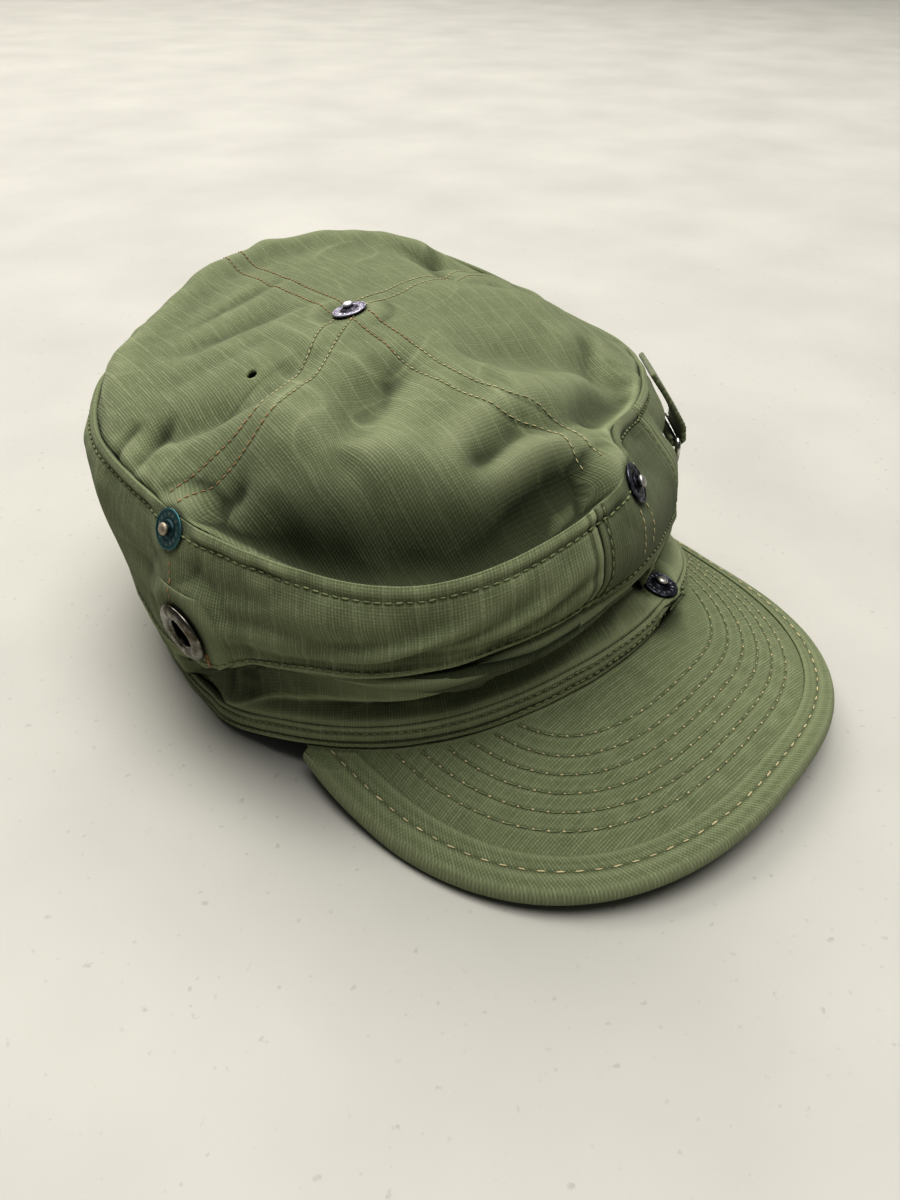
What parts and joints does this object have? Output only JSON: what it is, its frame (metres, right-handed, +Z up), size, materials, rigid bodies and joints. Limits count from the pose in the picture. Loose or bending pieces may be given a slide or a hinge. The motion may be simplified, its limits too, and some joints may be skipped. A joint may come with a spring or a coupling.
{
  "type": "military field cap",
  "caption": "Soft olive ripstop field cap with a sewn crown, a stitched stiff peak, snap studs, two eyelets and a strap tab with a ring, resting on its rim.",
  "frame": {"origin": "on the floor, under the middle of the cap's box, peak included", "axes": "+Z up, -Y towards the peak, +X towards the wearer's left"},
  "size_m": [0.1881, 0.2467, 0.1032],
  "materials": {
    "ripstop_cotton": "faded olive green ripstop, matt",
    "bias_binding": "olive cotton cut on the bias, matt",
    "stud_nickel": "worn nickel plate",
    "stud_patina": "blue-green patina with a bronze head",
    "stud_dark": "dark tarnished plate with a bright head",
    "eyelet_gunmetal": "gunmetal with a brass tint at the edge",
    "cotton_webbing": "coarse olive webbing",
    "ring_nickel": "polished nickel plate"
  },
  "bodies": {
    "root": {"crown_top": "ripstop_cotton", "front_panel": "ripstop_cotton", "side_panel_right": "ripstop_cotton", "side_panel_left": "ripstop_cotton", "lower_wall": "ripstop_cotton", "rim_band": "ripstop_cotton", "peak": "ripstop_cotton", "peak_binding": "bias_binding", "stud_top": "stud_nickel", "stud_right": "stud_patina", "stud_front": "stud_dark", "stud_band": "stud_dark", "stud_left": "stud_dark", "stud_back": "stud_dark", "eyelet_right": "eyelet_gunmetal", "eyelet_left": "eyelet_gunmetal", "strap_tab": "cotton_webbing", "strap_ring": "ring_nickel"}
  },
  "joints": []
}
